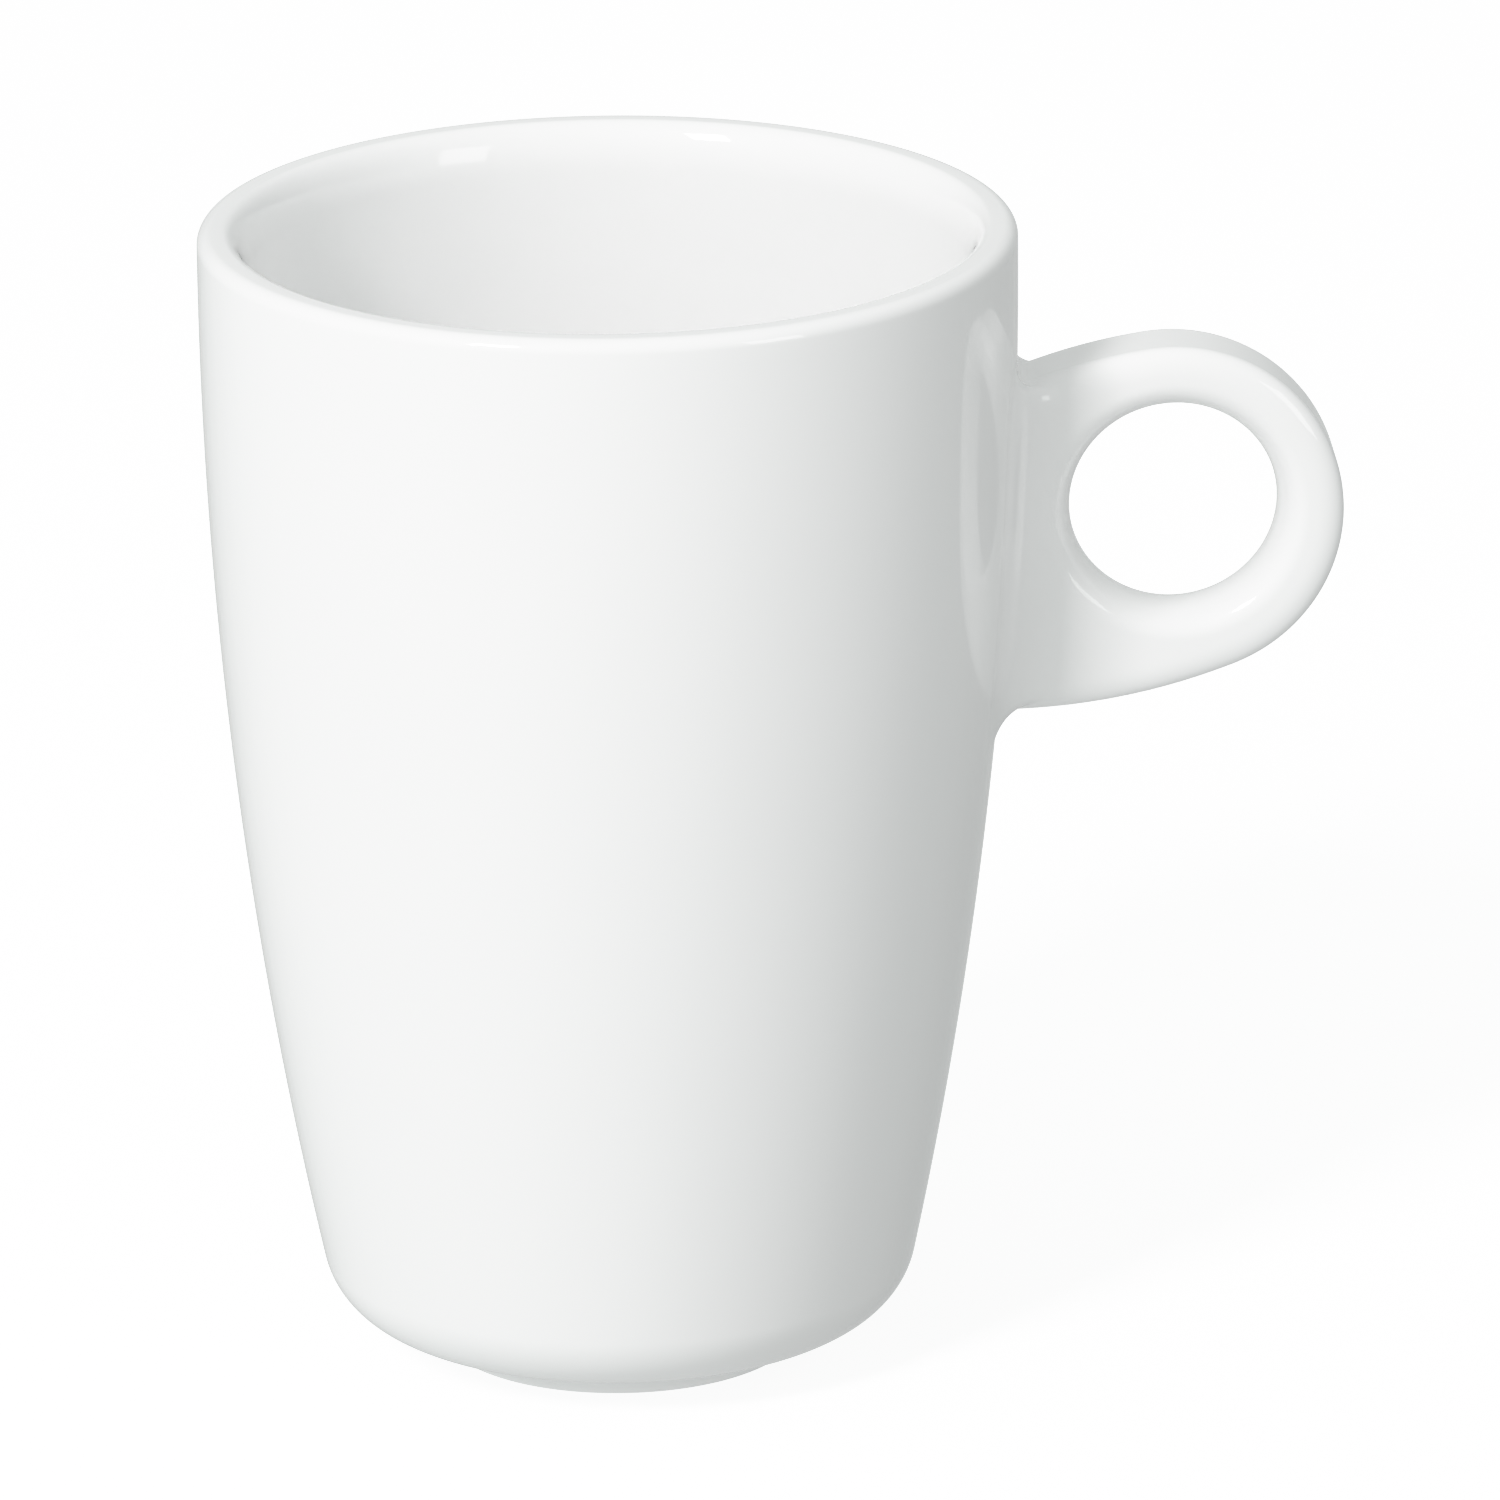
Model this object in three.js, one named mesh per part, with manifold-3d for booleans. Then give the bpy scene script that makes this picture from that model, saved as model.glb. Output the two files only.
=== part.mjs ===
// Ceramic mug: a tall tapering cup on a foot ring, with a ring handle stuck on with slip.
// Millimetres, +Z up. Every piece is drawn round the cup's axis, with the handle along +X. The whole
// mug is then moved so that its origin is under the middle of its box, in the plane it stands on.
import * as THREE from 'three';
import { mergeVertices } from 'three/addons/utils/BufferGeometryUtils.js';
import Module from 'manifold-3d';

// Cup: outside
const HEIGHT = 110;
const RIM_RADIUS = 38.3;
const WALL_ARC_RADIUS = 474; // the wall is one long arc, seen from the side
const WALL_UPRIGHT_HEIGHT = 107; // where that arc is vertical
const CORNER_RADIUS = 7.8; // between the wall and the underside
const CORNER_CENTRE_HEIGHT = 10.8;
const UNDERSIDE_SLOPE = 5.5; // degrees, rising outwards from the foot ring

// Cup: foot ring
const FOOT_OUTER_RADIUS = 17.1;
const FOOT_INNER_RADIUS = 13.9;
const FOOT_EDGE_RADIUS = 0.7;
const RECESS_HEIGHT = 2.2; // the ceiling of the hollow inside the foot ring

// Cup: lip and inside
const WALL_THICKNESS = 4.4;
const LIP_OUTER_RADIUS = 1.3; // the lip's outer edge
const LIP_INNER = { width: 2, drop: 4.5 }; // its inner edge, as a quarter ellipse
const FLOOR_HEIGHT = 7;
const INSIDE_CORNER_RADIUS = 9;

// Handle
const RING_CENTRE = new THREE.Vector2(52.4, 81.5); // x, z
const RING_RADIUS = 16.3;
const HOLE_RADIUS = 9.8;
const HOLE_CENTRE = RING_CENTRE.clone().add(new THREE.Vector2(0.45, 0.35)); // further out and higher up
const HANDLE_THICKNESS = 9;
const HANDLE_EDGE = { inPlane: 2.8, across: 3 }; // the rounded edge, as a quarter ellipse
const UPPER_ARM = { leavesRingAt: 98, arcRadius: 55 }; // degrees round the ring from +X
const LOWER_ARM = { leavesRingAt: -69, arcRadius: 60 };
const ARM_END_X = 30; // well inside the cup, before the root is cut
const FLARE_RADIUS = 4.5; // the hollow that widens each face into the root
const FLARE_START_X = 41.5;
const FLARE_INSET = 1.2; // how far the root's foot stays inside the arms, above and below
const FLARE_CORNER = 8; // the rounding of the root's foot, seen along X

// Joint: the slip lies in a shallow pocket in the handle's root
const GAP = 0.3; // between neighbouring pieces
const SLIP_THICKNESS = 0.5;
const SLIP_WIDTH = 9;
const SLIP_HEIGHT = 25;

// Smoothness
const CUP_SEGMENTS = 64;
const WALL_STEPS = 12;
const CORNER_STEPS = 6;
const LIP_STEPS = 4;
const FOOT_STEPS = 3;
const EDGE_STEPS = 4;
const RING_STEPS = 32;
const ARM_STEPS = 5;
const FLARE_STEPS = 7;

const wasm = await Module();
wasm.setup();

const WALL_CENTRE = new THREE.Vector2(RIM_RADIUS - WALL_ARC_RADIUS, WALL_UPRIGHT_HEIGHT);

/** Points on an ellipse, from one angle to another, in degrees. */
function arc(centre, radiusX, radiusY, from, to, steps) {
  return Array.from({ length: steps + 1 }, (_, step) => {
    const angle = THREE.MathUtils.degToRad(THREE.MathUtils.lerp(from, to, step / steps));
    return new THREE.Vector2(centre.x + radiusX * Math.cos(angle), centre.y + radiusY * Math.sin(angle));
  });
}

/** Points on the wall's long arc between two heights; offset is outwards from the outer face. */
function wallArc(offset, fromZ, toZ) {
  const radius = WALL_ARC_RADIUS + offset;
  const angleAt = (z) => THREE.MathUtils.radToDeg(Math.asin((z - WALL_CENTRE.y) / radius));
  return arc(WALL_CENTRE, radius, radius, angleAt(fromZ), angleAt(toZ), WALL_STEPS);
}

/** The centre of a corner arc that meets the wall's arc smoothly, and the angle where they meet. */
function cornerOnWall(offset, radius, centreZ) {
  const reach = WALL_ARC_RADIUS + offset - radius;
  const drop = centreZ - WALL_CENTRE.y;
  const centre = new THREE.Vector2(WALL_CENTRE.x + Math.sqrt(reach ** 2 - drop ** 2), centreZ);
  const angle = Math.asin(drop / reach);
  return {
    centre,
    degrees: THREE.MathUtils.radToDeg(angle),
    meetsZ: centreZ + radius * Math.sin(angle),
  };
}

/** Revolve a profile of (radius, height) points around the vertical axis. */
function revolve(profile) {
  return new THREE.LatheGeometry(profile, CUP_SEGMENTS).rotateX(Math.PI / 2);
}

function footProfile() {
  const edge = FOOT_EDGE_RADIUS;
  const innerEdge = new THREE.Vector2(FOOT_INNER_RADIUS + edge, edge);
  const outerEdge = new THREE.Vector2(FOOT_OUTER_RADIUS - edge, edge);
  return [
    new THREE.Vector2(0, RECESS_HEIGHT),
    new THREE.Vector2(FOOT_INNER_RADIUS - edge, RECESS_HEIGHT),
    new THREE.Vector2(FOOT_INNER_RADIUS, RECESS_HEIGHT - edge),
    ...arc(innerEdge, edge, edge, 180, 270, FOOT_STEPS),
    ...arc(outerEdge, edge, edge, 270, 360, FOOT_STEPS),
  ];
}

function outsideProfile() {
  const corner = cornerOnWall(0, CORNER_RADIUS, CORNER_CENTRE_HEIGHT);
  const slope = THREE.MathUtils.degToRad(UNDERSIDE_SLOPE);
  const drop = CORNER_RADIUS / Math.cos(slope) + (corner.centre.x - FOOT_OUTER_RADIUS) * Math.tan(slope);
  return [
    new THREE.Vector2(FOOT_OUTER_RADIUS, CORNER_CENTRE_HEIGHT - drop),
    ...arc(corner.centre, CORNER_RADIUS, CORNER_RADIUS, UNDERSIDE_SLOPE - 90, corner.degrees, CORNER_STEPS),
    ...wallArc(0, corner.meetsZ, HEIGHT - LIP_OUTER_RADIUS).slice(1),
  ];
}

function insideProfile() {
  const radius = INSIDE_CORNER_RADIUS;
  const corner = cornerOnWall(-WALL_THICKNESS, radius, FLOOR_HEIGHT + radius);
  return [
    ...wallArc(-WALL_THICKNESS, HEIGHT - LIP_INNER.drop, corner.meetsZ),
    ...arc(corner.centre, radius, radius, corner.degrees, -90, CORNER_STEPS).slice(1),
    new THREE.Vector2(0, FLOOR_HEIGHT),
  ];
}

/** The lip's rounded top, between the last outside point and the first inside point. */
function lipProfile(outside, inside) {
  const outer = new THREE.Vector2(outside.x - LIP_OUTER_RADIUS, outside.y);
  const inner = new THREE.Vector2(inside.x + LIP_INNER.width, inside.y);
  return [
    ...arc(outer, LIP_OUTER_RADIUS, LIP_OUTER_RADIUS, 0, 90, LIP_STEPS).slice(1),
    ...arc(inner, LIP_INNER.width, LIP_INNER.drop, 90, 180, LIP_STEPS).slice(0, -1),
  ];
}

function cupGeometry() {
  const outside = outsideProfile();
  const inside = insideProfile();
  return revolve([...footProfile(), ...outside, ...lipProfile(outside.at(-1), inside[0]), ...inside]);
}

/** A solid of the cup's outer shape grown by offset, tall enough to cut the handle's root. */
function cupCutter(offset) {
  const wall = wallArc(offset, RING_CENTRE.y - 2 * RING_RADIUS, HEIGHT);
  return solid(revolve([
    new THREE.Vector2(0, wall[0].y),
    ...wall,
    new THREE.Vector2(0, wall.at(-1).y),
  ]));
}

/** An arm's outline, from where it leaves the ring to inside the cup, curving on more gently. */
function armArc(arm) {
  const angle = THREE.MathUtils.degToRad(arm.leavesRingAt);
  const outwards = new THREE.Vector2(Math.cos(angle), Math.sin(angle));
  const centre = RING_CENTRE.clone().addScaledVector(outwards, RING_RADIUS - arm.arcRadius);
  const endAngle = THREE.MathUtils.radToDeg(Math.acos((ARM_END_X - centre.x) / arm.arcRadius));
  const end = Math.sign(arm.leavesRingAt) * endAngle;
  return arc(centre, arm.arcRadius, arm.arcRadius, arm.leavesRingAt, end, ARM_STEPS);
}

/** The handle seen from the side, in x and z, with its finger hole. */
function handleOutline() {
  const upper = armArc(UPPER_ARM);
  const lower = armArc(LOWER_ARM);
  const ring = arc(
    RING_CENTRE, RING_RADIUS, RING_RADIUS, LOWER_ARM.leavesRingAt, UPPER_ARM.leavesRingAt, RING_STEPS,
  );
  const outline = new THREE.Shape([...lower.reverse(), ...ring.slice(1, -1), ...upper]);
  const hole = new THREE.Path();
  hole.absarc(HOLE_CENTRE.x, HOLE_CENTRE.y, HOLE_RADIUS, 0, 2 * Math.PI, true);
  outline.holes.push(hole);
  return outline;
}

/** The ring, web and arms: the side outline with its edges rounded. */
function handlePlate() {
  const depth = HANDLE_THICKNESS - 2 * HANDLE_EDGE.across;
  const plate = new THREE.ExtrudeGeometry(handleOutline(), {
    depth,
    bevelThickness: HANDLE_EDGE.across,
    bevelSize: HANDLE_EDGE.inPlane,
    bevelOffset: -HANDLE_EDGE.inPlane,
    bevelSegments: EDGE_STEPS,
    curveSegments: RING_STEPS,
  });
  return plate.translate(0, 0, -depth / 2).rotateX(Math.PI / 2);
}

/** A rectangle with rounded corners, centred on the origin. */
function roundedRectangle(width, height, radius) {
  const x = width / 2 - radius;
  const y = height / 2 - radius;
  const shape = new THREE.Shape();
  shape.absarc(x, y, radius, 0, Math.PI / 2, false);
  shape.absarc(-x, y, radius, Math.PI / 2, Math.PI, false);
  shape.absarc(-x, -y, radius, Math.PI, 1.5 * Math.PI, false);
  shape.absarc(x, -y, radius, 1.5 * Math.PI, 2 * Math.PI, false);
  return shape;
}

/** The root's foot on the cup: a rounded block, hollowed on each face into the web. */
function handleFlare() {
  const bottom = armHeight(LOWER_ARM) + FLARE_INSET;
  const top = armHeight(UPPER_ARM) - FLARE_INSET;
  const hollowY = HANDLE_THICKNESS / 2 + FLARE_RADIUS;
  const foot = new THREE.ExtrudeGeometry(roundedRectangle(top - bottom, 2 * hollowY, FLARE_CORNER), {
    depth: FLARE_START_X - ARM_END_X,
    bevelEnabled: false,
    curveSegments: FLARE_STEPS,
  });
  foot.rotateY(Math.PI / 2).translate(ARM_END_X, 0, (top + bottom) / 2);
  const hollows = [-hollowY, hollowY].map((y) => {
    const cylinder = new THREE.CylinderGeometry(FLARE_RADIUS, FLARE_RADIUS, HEIGHT, 4 * FLARE_STEPS);
    return solid(cylinder.rotateX(Math.PI / 2).translate(FLARE_START_X, y, RING_CENTRE.y));
  });
  return hollows.reduce((root, hollow) => root.subtract(hollow), solid(foot));
}

/** The height of an arm's outline at the cup's outer face. */
function armHeight(arm) {
  const points = armArc(arm);
  const outside = points.findIndex((p) => p.x < RIM_RADIUS);
  const before = points[outside - 1];
  const after = points[outside];
  return THREE.MathUtils.mapLinear(RIM_RADIUS, before.x, after.x, before.y, after.y);
}

/** A saddle between two offsets from the cup's face, as wide and tall as asked, at the root. */
function saddle(width, height, fromOffset, toOffset) {
  const middle = (armHeight(LOWER_ARM) + armHeight(UPPER_ARM)) / 2;
  const block = new THREE.BoxGeometry(RIM_RADIUS, width, height).translate(RIM_RADIUS, 0, middle);
  return solid(block)
    .intersect(cupCutter(toOffset))
    .subtract(cupCutter(fromOffset));
}

/** The handle, its root cut to the cup's curve, with the pocket that holds the slip. */
function handleSolid() {
  const pocketDepth = GAP + SLIP_THICKNESS + GAP;
  return solid(handlePlate())
    .add(handleFlare())
    .subtract(cupCutter(GAP))
    .subtract(saddle(SLIP_WIDTH + 2 * GAP, SLIP_HEIGHT + 2 * GAP, 0, pocketDepth));
}

/** The slip: a thin saddle on the cup's face. */
function slipSolid() {
  return saddle(SLIP_WIDTH, SLIP_HEIGHT, GAP, GAP + SLIP_THICKNESS);
}

/** A three.js geometry as a manifold solid. */
function solid(geometry) {
  const bare = geometry.clone();
  bare.deleteAttribute('normal');
  bare.deleteAttribute('uv');
  const merged = mergeVertices(bare);
  return new wasm.Manifold(new wasm.Mesh({
    numProp: 3,
    vertProperties: Float32Array.from(merged.attributes.position.array),
    triVerts: Uint32Array.from(merged.index.array),
  }));
}

/** A manifold solid back as a three.js geometry. */
function geometryOf(manifold) {
  const mesh = manifold.getMesh();
  const geometry = new THREE.BufferGeometry();
  geometry.setAttribute('position', new THREE.BufferAttribute(mesh.vertProperties, 3));
  geometry.setIndex(new THREE.BufferAttribute(mesh.triVerts, 1));
  geometry.computeVertexNormals();
  return geometry;
}

const glazedPorcelain = () => new THREE.MeshStandardMaterial({
  color: 0xf3f5f4,
  roughness: 0.08,
  metalness: 0,
});
const firedSlip = () => new THREE.MeshStandardMaterial({
  color: 0xe9e6de,
  roughness: 0.7,
  metalness: 0,
});

function piece(name, geometry, material) {
  const mesh = new THREE.Mesh(geometry, material);
  mesh.name = name;
  return mesh;
}

const handleReach = RING_CENTRE.x + RING_RADIUS;
const mug = new THREE.Group();
mug.position.x = (RIM_RADIUS - handleReach) / 2;
mug.add(
  piece('cup_body', cupGeometry(), glazedPorcelain()),
  piece('handle', geometryOf(handleSolid()), glazedPorcelain()),
  piece('slip_joint', geometryOf(slipSolid()), firedSlip()),
);

export default mug;
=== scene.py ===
import math

import bpy
import numpy as np
from mathutils import Matrix, Vector


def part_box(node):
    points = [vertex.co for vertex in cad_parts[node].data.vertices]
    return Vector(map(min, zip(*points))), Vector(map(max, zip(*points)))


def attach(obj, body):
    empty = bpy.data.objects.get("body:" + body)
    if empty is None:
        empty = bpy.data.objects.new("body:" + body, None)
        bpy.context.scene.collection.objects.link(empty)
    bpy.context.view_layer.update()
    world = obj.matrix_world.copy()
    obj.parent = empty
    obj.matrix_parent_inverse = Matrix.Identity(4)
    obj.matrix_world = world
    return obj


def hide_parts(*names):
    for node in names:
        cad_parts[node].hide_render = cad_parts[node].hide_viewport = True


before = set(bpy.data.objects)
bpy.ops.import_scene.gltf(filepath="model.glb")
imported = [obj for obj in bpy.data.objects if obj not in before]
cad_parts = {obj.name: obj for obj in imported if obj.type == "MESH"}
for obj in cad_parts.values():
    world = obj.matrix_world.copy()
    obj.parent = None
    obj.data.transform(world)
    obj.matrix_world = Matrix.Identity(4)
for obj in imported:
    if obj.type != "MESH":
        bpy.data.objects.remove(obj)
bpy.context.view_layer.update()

# White porcelain mug with a ring handle. Everything is in metres, in the frame of the CAD model.
# The cup's axis, height and rim, how far the ring reaches and where the slip lies come from the frame;
# the rest are the mug's own dimensions.
MM = 0.001

CUP_LOW, CUP_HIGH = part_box("cup_body")
HANDLE_LOW, HANDLE_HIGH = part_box("handle")
SLIP_LOW, SLIP_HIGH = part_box("slip_joint")
AXIS_X = (CUP_LOW.x + CUP_HIGH.x) / 2
HEIGHT = CUP_HIGH.z
RIM_RADIUS = (CUP_HIGH.x - CUP_LOW.x) / 2

# Cup: outside
WALL_ARC_RADIUS = 474 * MM  # the wall is one long arc, seen from the side
WALL_UPRIGHT_HEIGHT = 107 * MM  # where that arc is vertical
WALL_CENTRE = (RIM_RADIUS - WALL_ARC_RADIUS, WALL_UPRIGHT_HEIGHT)
CORNER_RADIUS = 7.8 * MM
CORNER_CENTRE_HEIGHT = 10.8 * MM
UNDERSIDE_SLOPE = 5.5  # degrees, rising outwards from the foot ring

# Cup: foot ring
FOOT_OUTER_RADIUS = 17.1 * MM
FOOT_INNER_RADIUS = 13.9 * MM
FOOT_EDGE_RADIUS = 0.7 * MM
FOOT_FILLET = 0.5 * MM  # where the ring's outside meets the underside
RECESS_FILLET = 1.0 * MM
RECESS_HEIGHT = 2.2 * MM
RECESS_DOME = 0.3 * MM  # the recess's ceiling is a little higher in the middle

# Cup: lip and inside
WALL_THICKNESS = 4.4 * MM
LIP_OUTER_RADIUS = 1.3 * MM
LIP_INNER_WIDTH = 2.0 * MM  # the lip is flat between its two rounded edges
LIP_INNER_DROP = 4.5 * MM
FLOOR_HEIGHT = 7 * MM
FLOOR_DISH = 0.4 * MM  # the floor is a little lower in the middle
INSIDE_CORNER_RADIUS = 9 * MM

# Handle
RING_RADIUS = 16.1 * MM
RING_DROP = 0.2 * MM  # below the CAD ring's top, because the edges here are tighter
RING_X = HANDLE_HIGH.x - AXIS_X - RING_RADIUS  # from the cup's axis
RING_Z = HANDLE_HIGH.z - RING_DROP - RING_RADIUS
HOLE_RADIUS = 9.8 * MM
HOLE_X = RING_X + 0.25 * MM
HOLE_Z = RING_Z + 0.35 * MM
HALF_THICKNESS = 4.45 * MM
EDGE_IN_PLANE = 2.8 * MM  # the handle's rounded edges, measured in from its outline
EDGE_ACROSS = 1.6 * MM  # and measured in from its face; the hole's edge is round all the way across
EDGE_POWER = 2.2  # 2 would be an ellipse; more is squarer
UPPER_ARM = {"leaves_ring_at": 98, "arc_radius": 55 * MM}
LOWER_ARM = {"leaves_ring_at": -69, "arc_radius": 60 * MM}

# Root: how far the fillets reach, out along the handle and round on the cup
FACE_FILLET = 6.3 * MM
EDGE_FILLET = 1.9 * MM
FILLET_POWER = 2.6
SKIRT_EDGE = 0.985  # where the fillet stops, as a share of its reach, just before it is flat
ROOT_DEPTH = 0.9 * MM  # how far the root goes into the cup's wall

# Handle: its mesh
GRID_CELL = 0.4 * MM
SETTLE_STEPS = 5
SETTLE_MOVE = 0.3 * GRID_CELL  # the most that a point moves in one step
LEAST_STEEPNESS = 0.05  # keeps a step short where the field is nearly flat
RELAX_ROUNDS = 4
SLOPE_STEP = 0.01 * MM  # for taking the field's slope
TINY = 1e-12  # keeps roots and divisions away from zero

# Slip: the pocket in the root that it lies in
POCKET_CLEARANCE = 0.3 * MM
POCKET_DEPTH = 1.1 * MM  # out from the cup's wall

CUP_SEGMENTS = 384


def arc(centre, radius_r, radius_z, start, end, steps):
    """Points on an ellipse in the (radius, height) plane, from one angle to another, in degrees."""
    points = []
    for step in range(steps + 1):
        angle = math.radians(start + (end - start) * step / steps)
        points.append((centre[0] + radius_r * math.cos(angle), centre[1] + radius_z * math.sin(angle)))
    return points


def wall_arc(offset, from_z, to_z, steps):
    """Points on the wall's long arc between two heights; offset is outwards from the outer face."""
    radius = WALL_ARC_RADIUS + offset
    start = math.degrees(math.asin((from_z - WALL_CENTRE[1]) / radius))
    end = math.degrees(math.asin((to_z - WALL_CENTRE[1]) / radius))
    return arc(WALL_CENTRE, radius, radius, start, end, steps)


def corner_on_wall(offset, radius, centre_z):
    """The corner arc that meets the wall smoothly: its centre, the meeting angle and height."""
    reach = WALL_ARC_RADIUS + offset - radius
    drop = centre_z - WALL_CENTRE[1]
    centre = (WALL_CENTRE[0] + math.sqrt(reach ** 2 - drop ** 2), centre_z)
    angle = math.asin(drop / reach)
    return centre, math.degrees(angle), centre_z + radius * math.sin(angle)


def recess_profile():
    """The hollow inside the foot ring, from the axis outwards."""
    ceiling = []
    flat_radius = FOOT_INNER_RADIUS - RECESS_FILLET
    for step in range(17):
        share = step / 16
        ceiling.append((flat_radius * share, RECESS_HEIGHT + RECESS_DOME * (1 - share ** 2)))
    fillet = (flat_radius, RECESS_HEIGHT - RECESS_FILLET)
    return ceiling[:-1] + arc(fillet, RECESS_FILLET, RECESS_FILLET, 90, 0, 8)


def foot_profile():
    """The foot ring's rounded edges; the stretch between them is its flat, bare underside."""
    edge = FOOT_EDGE_RADIUS
    inner = arc((FOOT_INNER_RADIUS + edge, edge), edge, edge, 180, 270, 8)
    outer = arc((FOOT_OUTER_RADIUS - edge, edge), edge, edge, 270, 360, 8)
    return inner, outer


def underside_profile():
    """From the foot ring's outside, through its fillet, along the sloping underside and round the corner."""
    corner, meets, _ = corner_on_wall(0, CORNER_RADIUS, CORNER_CENTRE_HEIGHT)
    slope = math.radians(UNDERSIDE_SLOPE)
    drop = CORNER_RADIUS / math.cos(slope)
    fillet_r = FOOT_OUTER_RADIUS + FOOT_FILLET
    underside_z = CORNER_CENTRE_HEIGHT - drop - (corner[0] - fillet_r) * math.tan(slope)
    fillet = (fillet_r, underside_z - FOOT_FILLET / math.cos(slope))
    return (
        arc(fillet, FOOT_FILLET, FOOT_FILLET, 180, 90 + UNDERSIDE_SLOPE, 6)
        + arc(corner, CORNER_RADIUS, CORNER_RADIUS, UNDERSIDE_SLOPE - 90, meets, 28)
    )


def lip_profile():
    """Over the lip: its tight outer edge, its narrow flat and its long inner edge."""
    outside_r = wall_arc(0, HEIGHT - LIP_OUTER_RADIUS, HEIGHT, 1)[0][0]
    inside_r = wall_arc(-WALL_THICKNESS, HEIGHT - LIP_INNER_DROP, HEIGHT, 1)[0][0]
    outer = (outside_r - LIP_OUTER_RADIUS, HEIGHT - LIP_OUTER_RADIUS)
    inner = (inside_r + LIP_INNER_WIDTH, HEIGHT - LIP_INNER_DROP)
    return (
        arc(outer, LIP_OUTER_RADIUS, LIP_OUTER_RADIUS, 0, 90, 14)[1:]
        + arc(inner, LIP_INNER_WIDTH, LIP_INNER_DROP, 90, 180, 24)[:-1]
    )


def inside_profile():
    """Down the inner wall, round the inside corner and across the dished floor to the axis."""
    corner, meets, meets_z = corner_on_wall(
        -WALL_THICKNESS, INSIDE_CORNER_RADIUS, FLOOR_HEIGHT + INSIDE_CORNER_RADIUS
    )
    wall = wall_arc(-WALL_THICKNESS, HEIGHT - LIP_INNER_DROP, meets_z, 64)
    bend = arc(corner, INSIDE_CORNER_RADIUS, INSIDE_CORNER_RADIUS, meets, -90, 24)[1:]
    floor = []
    for step in range(1, 17):
        share = 1 - step / 16
        floor.append((corner[0] * share, FLOOR_HEIGHT - FLOOR_DISH * (1 - share ** 2) ** 2))
    return wall + bend + floor


def lathe(name, profile, bare):
    """Revolve a profile that starts and ends on the axis. Rows in bare get the second material."""
    turn = np.linspace(0, 2 * math.pi, CUP_SEGMENTS, endpoint=False)
    rings = np.array(profile[1:-1])
    points = np.stack([
        AXIS_X + rings[:, :1] * np.cos(turn),
        rings[:, :1] * np.sin(turn),
        np.repeat(rings[:, 1:], CUP_SEGMENTS, axis=1),
    ], axis=-1).reshape(-1, 3)
    poles = [(AXIS_X, 0, profile[0][1]), (AXIS_X, 0, profile[-1][1])]
    points = np.vstack([points, poles])
    first_pole = len(rings) * CUP_SEGMENTS
    here = np.arange(CUP_SEGMENTS)
    after = np.roll(here, -1)
    faces = [(first_pole, b, a) for a, b in zip(here, after)]
    rows = [0] * CUP_SEGMENTS
    for ring in range(len(rings) - 1):
        low = ring * CUP_SEGMENTS
        high = low + CUP_SEGMENTS
        faces += list(zip(low + here, low + after, high + after, high + here))
        rows += [ring + 1] * CUP_SEGMENTS
    last = (len(rings) - 1) * CUP_SEGMENTS
    faces += [(last + a, last + b, first_pole + 1) for a, b in zip(here, after)]
    rows += [len(rings)] * CUP_SEGMENTS
    piece = mesh_object(name, points, [tuple(map(int, face)) for face in faces])
    for polygon, row in zip(piece.data.polygons, rows):
        polygon.material_index = 1 if row in bare else 0
    return piece


def mesh_object(name, points, faces):
    mesh = bpy.data.meshes.new(name)
    mesh.from_pydata([tuple(p) for p in points.tolist()], [], faces)
    mesh.validate()
    mesh.shade_smooth()
    made = bpy.data.objects.new(name, mesh)
    bpy.context.scene.collection.objects.link(made)
    return made


def make_cup():
    recess = recess_profile()
    foot_inner, foot_outer = foot_profile()
    outside = underside_profile()
    _, _, wall_z = corner_on_wall(0, CORNER_RADIUS, CORNER_CENTRE_HEIGHT)
    wall = wall_arc(0, wall_z, HEIGHT - LIP_OUTER_RADIUS, 72)[1:]
    before_flat = len(recess) + len(foot_inner) - 1
    profile = recess + foot_inner + foot_outer + outside + wall + lip_profile() + inside_profile()
    return lathe("cup", profile, bare=range(before_flat - 1, before_flat + 2))


# Handle. Fields take x, y and z in metres from the cup's axis, and are below zero inside the solid.

def cup_distance(x, y, z):
    """Distance outwards from the cup's outer wall."""
    return np.hypot(np.hypot(x, y) - WALL_CENTRE[0], z - WALL_CENTRE[1]) - WALL_ARC_RADIUS


def arm_distance(arm, x, z):
    """Distance outwards from the arm's long arc, which carries on smoothly from the ring."""
    angle = math.radians(arm["leaves_ring_at"])
    shift = RING_RADIUS - arm["arc_radius"]
    centre_x = RING_X + shift * math.cos(angle)
    centre_z = RING_Z + shift * math.sin(angle)
    return np.hypot(x - centre_x, z - centre_z) - arm["arc_radius"]


def outline_distance(x, z):
    """Distance outwards from the handle's outer outline, seen from the side."""
    angle = np.degrees(np.arctan2(z - RING_Z, x - RING_X))
    on_ring = (angle > LOWER_ARM["leaves_ring_at"]) & (angle < UPPER_ARM["leaves_ring_at"])
    ring = np.hypot(x - RING_X, z - RING_Z) - RING_RADIUS
    arms = np.maximum(arm_distance(UPPER_ARM, x, z), arm_distance(LOWER_ARM, x, z))
    return np.where(on_ring, ring, arms)


def rounded_edge(edge, y, across):
    """Distance outwards from a plate with a rounded edge, and its face's share of that distance."""
    towards_edge = np.clip(1 + edge / EDGE_IN_PLANE, 0, None) ** EDGE_POWER
    towards_face = np.clip(1 + (np.abs(y) - HALF_THICKNESS) / across, 0, None) ** EDGE_POWER
    both = towards_edge + towards_face + TINY
    face_share = towards_face / both
    scale = EDGE_IN_PLANE + (across - EDGE_IN_PLANE) * face_share
    return (both ** (1 / EDGE_POWER) - 1) * scale, face_share


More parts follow.
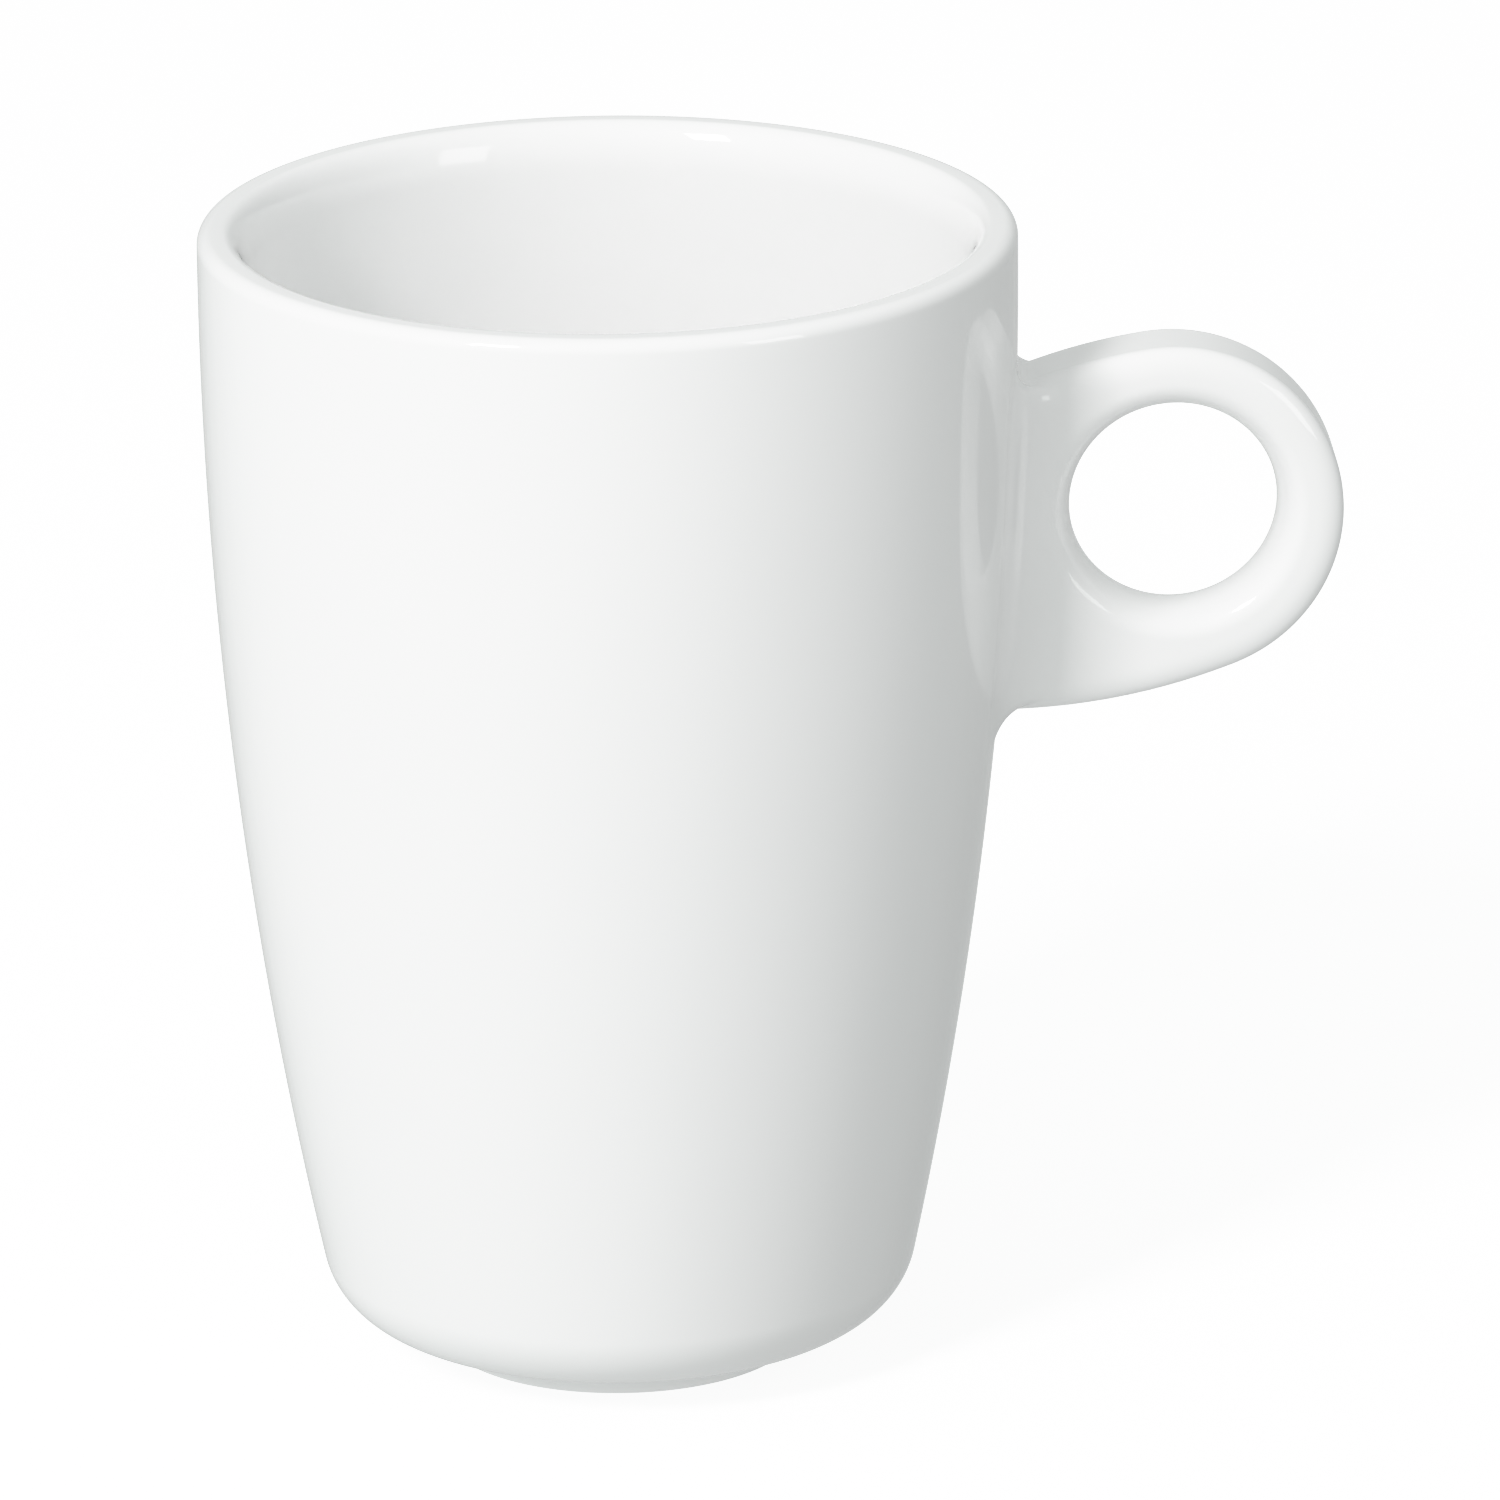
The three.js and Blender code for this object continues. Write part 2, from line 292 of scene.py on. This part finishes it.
def plate_distance(x, y, z):
    """Distance outwards from the handle before its root is flared, and its face's share of it."""
    outer, outer_share = rounded_edge(outline_distance(x, z), y, EDGE_ACROSS)
    hole = HOLE_RADIUS - np.hypot(x - HOLE_X, z - HOLE_Z)
    inner, inner_share = rounded_edge(hole, y, HALF_THICKNESS)
    return np.maximum(outer, inner), np.where(outer > inner, outer_share, inner_share)


def fillet_reach(face_share):
    """How far the root's fillet reaches: wide on the two faces, tight above and below."""
    ease = face_share ** 2 * (3 - 2 * face_share)
    return EDGE_FILLET + (FACE_FILLET - EDGE_FILLET) * ease


def flared_field(x, y, z):
    """The handle and the cup's wall, joined by the root's hollow fillet."""
    plate, face_share = plate_distance(x, y, z)
    reach = fillet_reach(face_share)
    near_cup = np.clip(1 - cup_distance(x, y, z) / reach, 0, None)
    near_plate = np.clip(1 - plate / reach, 0, None)
    joined = (near_cup ** FILLET_POWER + near_plate ** FILLET_POWER + TINY) ** (1 / FILLET_POWER)
    return (1 - joined) * reach


def skirt_field(x, y, z):
    """Below zero where the root's fillet still adds something to the cup's wall."""
    plate, face_share = plate_distance(x, y, z)
    return plate - SKIRT_EDGE * fillet_reach(face_share)


def pocket_field(x, y, z):
    """The shallow pocket in the root that holds the slip, fitted round the CAD slip."""
    middle_z = (SLIP_LOW.z + SLIP_HIGH.z) / 2
    sides = np.abs(y) - (SLIP_HIGH.y + POCKET_CLEARANCE)
    ends = np.abs(z - middle_z) - (SLIP_HIGH.z - middle_z + POCKET_CLEARANCE)
    depth = cup_distance(x, y, z) - POCKET_DEPTH
    return np.maximum(np.maximum(sides, ends), depth)


def handle_field(x, y, z):
    """The handle's solid: the flared handle, cut off a little way inside the cup's wall."""
    body = np.maximum(flared_field(x, y, z), skirt_field(x, y, z))
    body = np.maximum(body, -(cup_distance(x, y, z) + ROOT_DEPTH))
    return np.maximum(body, -pocket_field(x, y, z))


def gradient(field, points):
    """The field's direction of steepest rise at each point, not brought to length 1."""
    rises = []
    for axis in range(3):
        ahead = points.copy()
        behind = points.copy()
        ahead[:, axis] += SLOPE_STEP
        behind[:, axis] -= SLOPE_STEP
        rises.append((field(*ahead.T) - field(*behind.T)) / (2 * SLOPE_STEP))
    return np.stack(rises, axis=1)


def settle(field, points):
    """Move points onto the surface where the field is zero."""
    for _ in range(SETTLE_STEPS):
        slope = gradient(field, points)
        steepness = np.maximum((slope ** 2).sum(axis=1), LEAST_STEEPNESS)
        move = -(field(*points.T) / steepness)[:, None] * slope
        length = np.linalg.norm(move, axis=1, keepdims=True)
        points = points + move * np.minimum(1, SETTLE_MOVE / np.maximum(length, TINY))
    return points


def surface_net(field, low, high):
    """Quads round the surface where the field is zero, with one point in each grid cell that it crosses."""
    counts = [int(math.ceil((b - a) / GRID_CELL)) + 1 for a, b in zip(low, high)]
    axes = [a + GRID_CELL * np.arange(n) for a, n in zip(low, counts)]
    values = field(*np.meshgrid(*axes, indexing="ij"))
    cells = tuple(n - 1 for n in counts)
    total = np.zeros(cells + (3,))
    crossings = np.zeros(cells)
    quads = []
    for axis in range(3):
        start = np.moveaxis(np.moveaxis(values, axis, 0)[:-1], 0, axis)
        end = np.moveaxis(np.moveaxis(values, axis, 0)[1:], 0, axis)
        index = np.argwhere((start < 0) != (end < 0))
        start = start[tuple(index.T)]
        end = end[tuple(index.T)]
        along = index.astype(float)
        along[:, axis] += start / (start - end)
        position = np.array(low) + GRID_CELL * along
        corners = []
        for step_u, step_v in ((0, 0), (-1, 0), (-1, -1), (0, -1)):
            cell = index.copy()
            cell[:, (axis + 1) % 3] += step_u
            cell[:, (axis + 2) % 3] += step_v
            np.add.at(total, tuple(cell.T), position)
            np.add.at(crossings, tuple(cell.T), 1)
            corners.append(np.ravel_multi_index(tuple(cell.T), cells))
        quad = np.stack(corners, axis=1)
        quads.append(np.where((start < 0)[:, None], quad, quad[:, ::-1]))
    used = np.flatnonzero(crossings.ravel())
    number = np.full(crossings.size, -1)
    number[used] = np.arange(len(used))
    points = total.reshape(-1, 3)[used] / crossings.ravel()[used, None]
    return points, number[np.vstack(quads)]


def relax(field, points, quads):
    """Even out the points over the surface without leaving it."""
    ends = np.vstack([quads[:, [a, (a + 1) % 4]] for a in range(4)])
    for _ in range(RELAX_ROUNDS):
        total = np.zeros_like(points)
        count = np.zeros(len(points))
        for here, there in (ends.T, ends.T[::-1]):
            np.add.at(total, here, points[there])
            np.add.at(count, here, 1)
        points = settle(field, points * 0.5 + total / count[:, None] * 0.5)
    return points


def handle_normals(points):
    """Exact normals; the skirt takes the cup's own, so that its edge can't be seen on the wall."""
    normals = gradient(handle_field, points)
    wall = gradient(cup_distance, points)
    on_skirt = (skirt_field(*points.T) > -GRID_CELL) & (cup_distance(*points.T) > -ROOT_DEPTH / 2)
    normals = np.where(on_skirt[:, None], wall, normals)
    length = np.linalg.norm(normals, axis=1, keepdims=True)
    return normals / np.maximum(length, TINY)


def make_handle():
    margin = 2.5 * GRID_CELL
    reach = HALF_THICKNESS + FACE_FILLET + margin
    low = (RIM_RADIUS - 5 * MM, -reach, HANDLE_LOW.z - EDGE_FILLET - 2 * margin)
    high = (HANDLE_HIGH.x - AXIS_X + margin, reach, HANDLE_HIGH.z + margin)
    points, quads = surface_net(handle_field, low, high)
    points = relax(handle_field, settle(handle_field, points), quads)
    normals = handle_normals(points)
    piece = mesh_object("ring_handle", points + np.array([AXIS_X, 0, 0]), quads.tolist())
    piece.data.normals_split_custom_set_from_vertices(normals.tolist())
    return piece


# Materials

class Nodes:
    """A material's node tree, with short calls to add and join nodes."""

    def __init__(self, name):
        self.material = bpy.data.materials.new(name)
        self.material.use_nodes = True
        self.tree = self.material.node_tree
        self.shader = self.tree.nodes["Principled BSDF"]
        self.place = self.add("ShaderNodeTexCoord").outputs["Object"]

    def add(self, kind, **inputs):
        node = self.tree.nodes.new(kind)
        for name, value in inputs.items():
            node.inputs[name.replace("_", " ").title()].default_value = value
        return node

    def join(self, output, node, socket):
        self.tree.links.new(output, node.inputs[socket])

    def noise(self, size, detail=2.0, roughness=0.5):
        """Noise whose features are about size metres across."""
        node = self.add("ShaderNodeTexNoise", scale=1 / size, detail=detail, roughness=roughness)
        self.join(self.place, node, "Vector")
        return node.outputs["Fac"]

    def between(self, factor, low, high):
        """A number that runs from low to high as the factor runs from 0.3 to 0.7."""
        node = self.add("ShaderNodeMapRange")
        node.inputs["From Min"].default_value = 0.3
        node.inputs["From Max"].default_value = 0.7
        node.inputs["To Min"].default_value = low
        node.inputs["To Max"].default_value = high
        self.join(factor, node, "Value")
        return node.outputs["Result"]

    def colours(self, factor, stops):
        """A colour ramp through (position, colour) stops."""
        node = self.add("ShaderNodeValToRGB")
        ramp = node.color_ramp
        while len(ramp.elements) < len(stops):
            ramp.elements.new(0.5)
        for element, (position, colour) in zip(ramp.elements, stops):
            element.position = position
            element.color = (*colour, 1)
        self.join(factor, node, "Fac")
        return node.outputs["Color"]

    def bump(self, height, distance, normal=None):
        node = self.add("ShaderNodeBump")
        node.inputs["Distance"].default_value = distance
        self.join(height, node, "Height")
        if normal:
            self.join(normal, node, "Normal")
        return node.outputs["Normal"]


def glazed_porcelain():
    """White porcelain under a clear gloss glaze, with the slight waviness that a poured glaze has."""
    nodes = Nodes("glazed_porcelain")
    tint = nodes.colours(nodes.noise(0.045, 3), [(0.3, (0.940, 0.946, 0.944)), (0.7, (0.952, 0.954, 0.952))])
    nodes.join(tint, nodes.shader, "Base Color")
    nodes.join(nodes.between(nodes.noise(0.012, 4), 0.38, 0.50), nodes.shader, "Roughness")
    waves = nodes.bump(nodes.noise(0.016, 1), 0.00004)
    orange_peel = nodes.bump(nodes.noise(0.0016, 2), 0.0000012, waves)
    nodes.join(orange_peel, nodes.shader, "Normal")
    nodes.join(orange_peel, nodes.shader, "Coat Normal")
    nodes.shader.inputs["Specular IOR Level"].default_value = 0.2
    nodes.shader.inputs["Coat Weight"].default_value = 1.0
    nodes.shader.inputs["Coat Roughness"].default_value = 0.04
    nodes.shader.inputs["Coat IOR"].default_value = 1.5
    return nodes.material


def bare_clay(name, pale, dark, grain):
    """Fired clay without glaze: matte and finely grained."""
    nodes = Nodes(name)
    nodes.join(nodes.colours(nodes.noise(grain, 4), [(0.3, dark), (0.7, pale)]), nodes.shader, "Base Color")
    nodes.join(nodes.between(nodes.noise(grain * 2, 3), 0.6, 0.8), nodes.shader, "Roughness")
    nodes.join(nodes.bump(nodes.noise(grain / 2, 4), 0.00006), nodes.shader, "Normal")
    return nodes.material


# Camera, floor and light

CAMERA_AZIMUTH = -2.5  # degrees; 0 looks along +Y
CAMERA_ELEVATION = 18.25
CAMERA_ROLL = -0.55
CAMERA_DISTANCE = 1.5
CAMERA_LENS = 381.9  # millimetres, on a 36 mm sensor
AIM_RIGHT = 12.84 * MM  # what the camera looks at, from the middle of the cup's axis
AIM_UP = 3.12 * MM

FLOOR_REACH = 40.0  # metres from the middle, so that its edge is far from any view
FLOOR_GREY = 0.9
FLOOR_GLOW = 0.62
BRIGHTEST = 1.5  # what shows as pure white
SHOULDER = ((0.3, 0.3), (0.6, 0.6), (0.8, 0.79), (0.9, 0.87), (1.0, 0.925), (1.2, 0.972))
SKY = 0.62  # the studio's even brightness
GLOW = {"towards": (-82, -50), "starts_at": 0.0, "ends_at": 1.0, "adds": 0.22}  # off the table on the left
OVERHEAD = {"towards": (0, 90), "starts_at": 0.2, "ends_at": 1.0, "adds": 0.06}  # the ceiling
SHADE = {"towards": (92, -25), "starts_at": 0.2, "ends_at": 0.9, "adds": -0.22}  # the dark side
SKY_COLOUR = (0.975, 1.0, 0.99, 1)
KEY_COLOUR = (1.04, 1.0, 1.01)
KEY_RADIANCE = 33.0
FILL_RADIANCE = 2.5
LAMP_DISTANCE = 2.0
DIFFUSE_BOUNCES = 12  # light goes round and round inside a white cup
MOST_BOUNCES = 16


def direction(azimuth, elevation):
    """The direction towards something at that azimuth and elevation; azimuth 0 is -Y, 90 is +X."""
    a = math.radians(azimuth)
    e = math.radians(elevation)
    return Vector((math.sin(a) * math.cos(e), -math.cos(a) * math.cos(e), math.sin(e)))


def add_camera():
    middle = Vector((AXIS_X, 0, HEIGHT / 2))
    towards = direction(CAMERA_AZIMUTH, CAMERA_ELEVATION)
    place = middle + towards * CAMERA_DISTANCE
    right = Vector((0, 0, 1)).cross(towards).normalized()
    up = towards.cross(right)
    ahead = (middle + right * AIM_RIGHT + up * AIM_UP - place).normalized()
    turn = ahead.to_track_quat("-Z", "Y").to_matrix().to_4x4()
    data = bpy.data.cameras.new("camera")
    data.lens = CAMERA_LENS
    data.sensor_width = 36
    data.clip_end = 200
    camera = bpy.data.objects.new("camera", data)
    roll = Matrix.Rotation(math.radians(CAMERA_ROLL), 4, "Z")
    camera.matrix_world = Matrix.Translation(place) @ turn @ roll
    bpy.context.scene.collection.objects.link(camera)
    bpy.context.scene.camera = camera


def add_floor():
    """A white floor that glows a little, so that shadows on it stay pale. It gives the mug no light."""
    reach = FLOOR_REACH
    corners = np.array([(-reach, -reach, 0), (reach, -reach, 0), (reach, reach, 0), (-reach, reach, 0)])
    floor = mesh_object("floor", corners, [(0, 1, 2, 3)])
    floor.visible_diffuse = False
    floor.visible_glossy = False
    nodes = Nodes("pale_floor")
    nodes.shader.inputs["Base Color"].default_value = (FLOOR_GREY, FLOOR_GREY, FLOOR_GREY, 1)
    nodes.shader.inputs["Roughness"].default_value = 1.0
    nodes.shader.inputs["Specular IOR Level"].default_value = 0.0
    nodes.shader.inputs["Emission Color"].default_value = (1, 1, 1, 1)
    nodes.shader.inputs["Emission Strength"].default_value = FLOOR_GLOW
    floor.data.materials.append(nodes.material)


def add_softbox(name, azimuth, elevation, width, height, radiance, colour=(1, 1, 1)):
    """A rectangular softbox, its width and height given in degrees as the mug sees them."""
    wide = 2 * LAMP_DISTANCE * math.tan(math.radians(width / 2))
    tall = 2 * LAMP_DISTANCE * math.tan(math.radians(height / 2))
    data = bpy.data.lights.new(name, "AREA")
    data.shape = "RECTANGLE"
    data.size = wide
    data.size_y = tall
    data.energy = radiance * math.pi * wide * tall
    data.color = colour
    lamp = bpy.data.objects.new(name, data)
    towards = direction(azimuth, elevation)
    lamp.location = Vector((AXIS_X, 0, HEIGHT / 2)) + towards * LAMP_DISTANCE
    lamp.rotation_mode = "QUATERNION"
    lamp.rotation_quaternion = towards.to_track_quat("Z", "Y")
    lamp.visible_camera = False
    bpy.context.scene.collection.objects.link(lamp)


def add_sky():
    """A studio all round the mug: brighter from the lower left and overhead, darker on its right."""
    world = bpy.data.worlds.new("studio")
    bpy.context.scene.world = world
    world.use_nodes = True
    tree = world.node_tree
    background = tree.nodes["Background"]
    place = tree.nodes.new("ShaderNodeTexCoord")
    strength = tree.nodes.new("ShaderNodeValue").outputs["Value"]
    strength.default_value = SKY
    for lobe in (GLOW, OVERHEAD, SHADE):
        lean = tree.nodes.new("ShaderNodeVectorMath")
        lean.operation = "DOT_PRODUCT"
        lean.inputs[1].default_value = direction(*lobe["towards"])
        tree.links.new(place.outputs["Generated"], lean.inputs[0])
        ease = tree.nodes.new("ShaderNodeMapRange")
        ease.interpolation_type = "SMOOTHSTEP"
        ease.inputs["From Min"].default_value = lobe["starts_at"]
        ease.inputs["From Max"].default_value = lobe["ends_at"]
        ease.inputs["To Max"].default_value = lobe["adds"]
        tree.links.new(lean.outputs["Value"], ease.inputs["Value"])
        total = tree.nodes.new("ShaderNodeMath")
        tree.links.new(strength, total.inputs[0])
        tree.links.new(ease.outputs["Result"], total.inputs[1])
        strength = total.outputs["Value"]
    tree.links.new(strength, background.inputs["Strength"])
    background.inputs["Color"].default_value = SKY_COLOUR


def add_exposure():
    """Plain colours, with the brightest whites eased down so that a white mug keeps its shape."""
    view = bpy.context.scene.view_settings
    view.view_transform = "Standard"
    view.use_curve_mapping = True
    curves = view.curve_mapping
    curves.white_level = (BRIGHTEST, BRIGHTEST, BRIGHTEST)
    curve = curves.curves[3]
    for light, shown in SHOULDER:
        curve.points.new(light / BRIGHTEST, shown)
    curves.update()


cup = make_cup()
glaze = glazed_porcelain()
cup.data.materials.append(glaze)
cup.data.materials.append(bare_clay("bare_foot", (0.80, 0.78, 0.73), (0.72, 0.69, 0.63), 0.0006))
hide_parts("cup_body")
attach(cup, "root")

handle = make_handle()
handle.data.materials.append(glaze)
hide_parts("handle")
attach(handle, "root")

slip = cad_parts["slip_joint"]
slip.data.materials.clear()
slip.data.materials.append(bare_clay("fired_slip", (0.80, 0.77, 0.70), (0.70, 0.66, 0.58), 0.0010))

add_camera()
add_floor()
add_sky()
add_softbox("key", azimuth=-38, elevation=37, width=11, height=14, radiance=KEY_RADIANCE, colour=KEY_COLOUR)
add_softbox("fill", azimuth=44, elevation=15, width=16, height=22, radiance=FILL_RADIANCE)
add_exposure()
bpy.context.scene.cycles.diffuse_bounces = DIFFUSE_BOUNCES
bpy.context.scene.cycles.max_bounces = MOST_BOUNCES
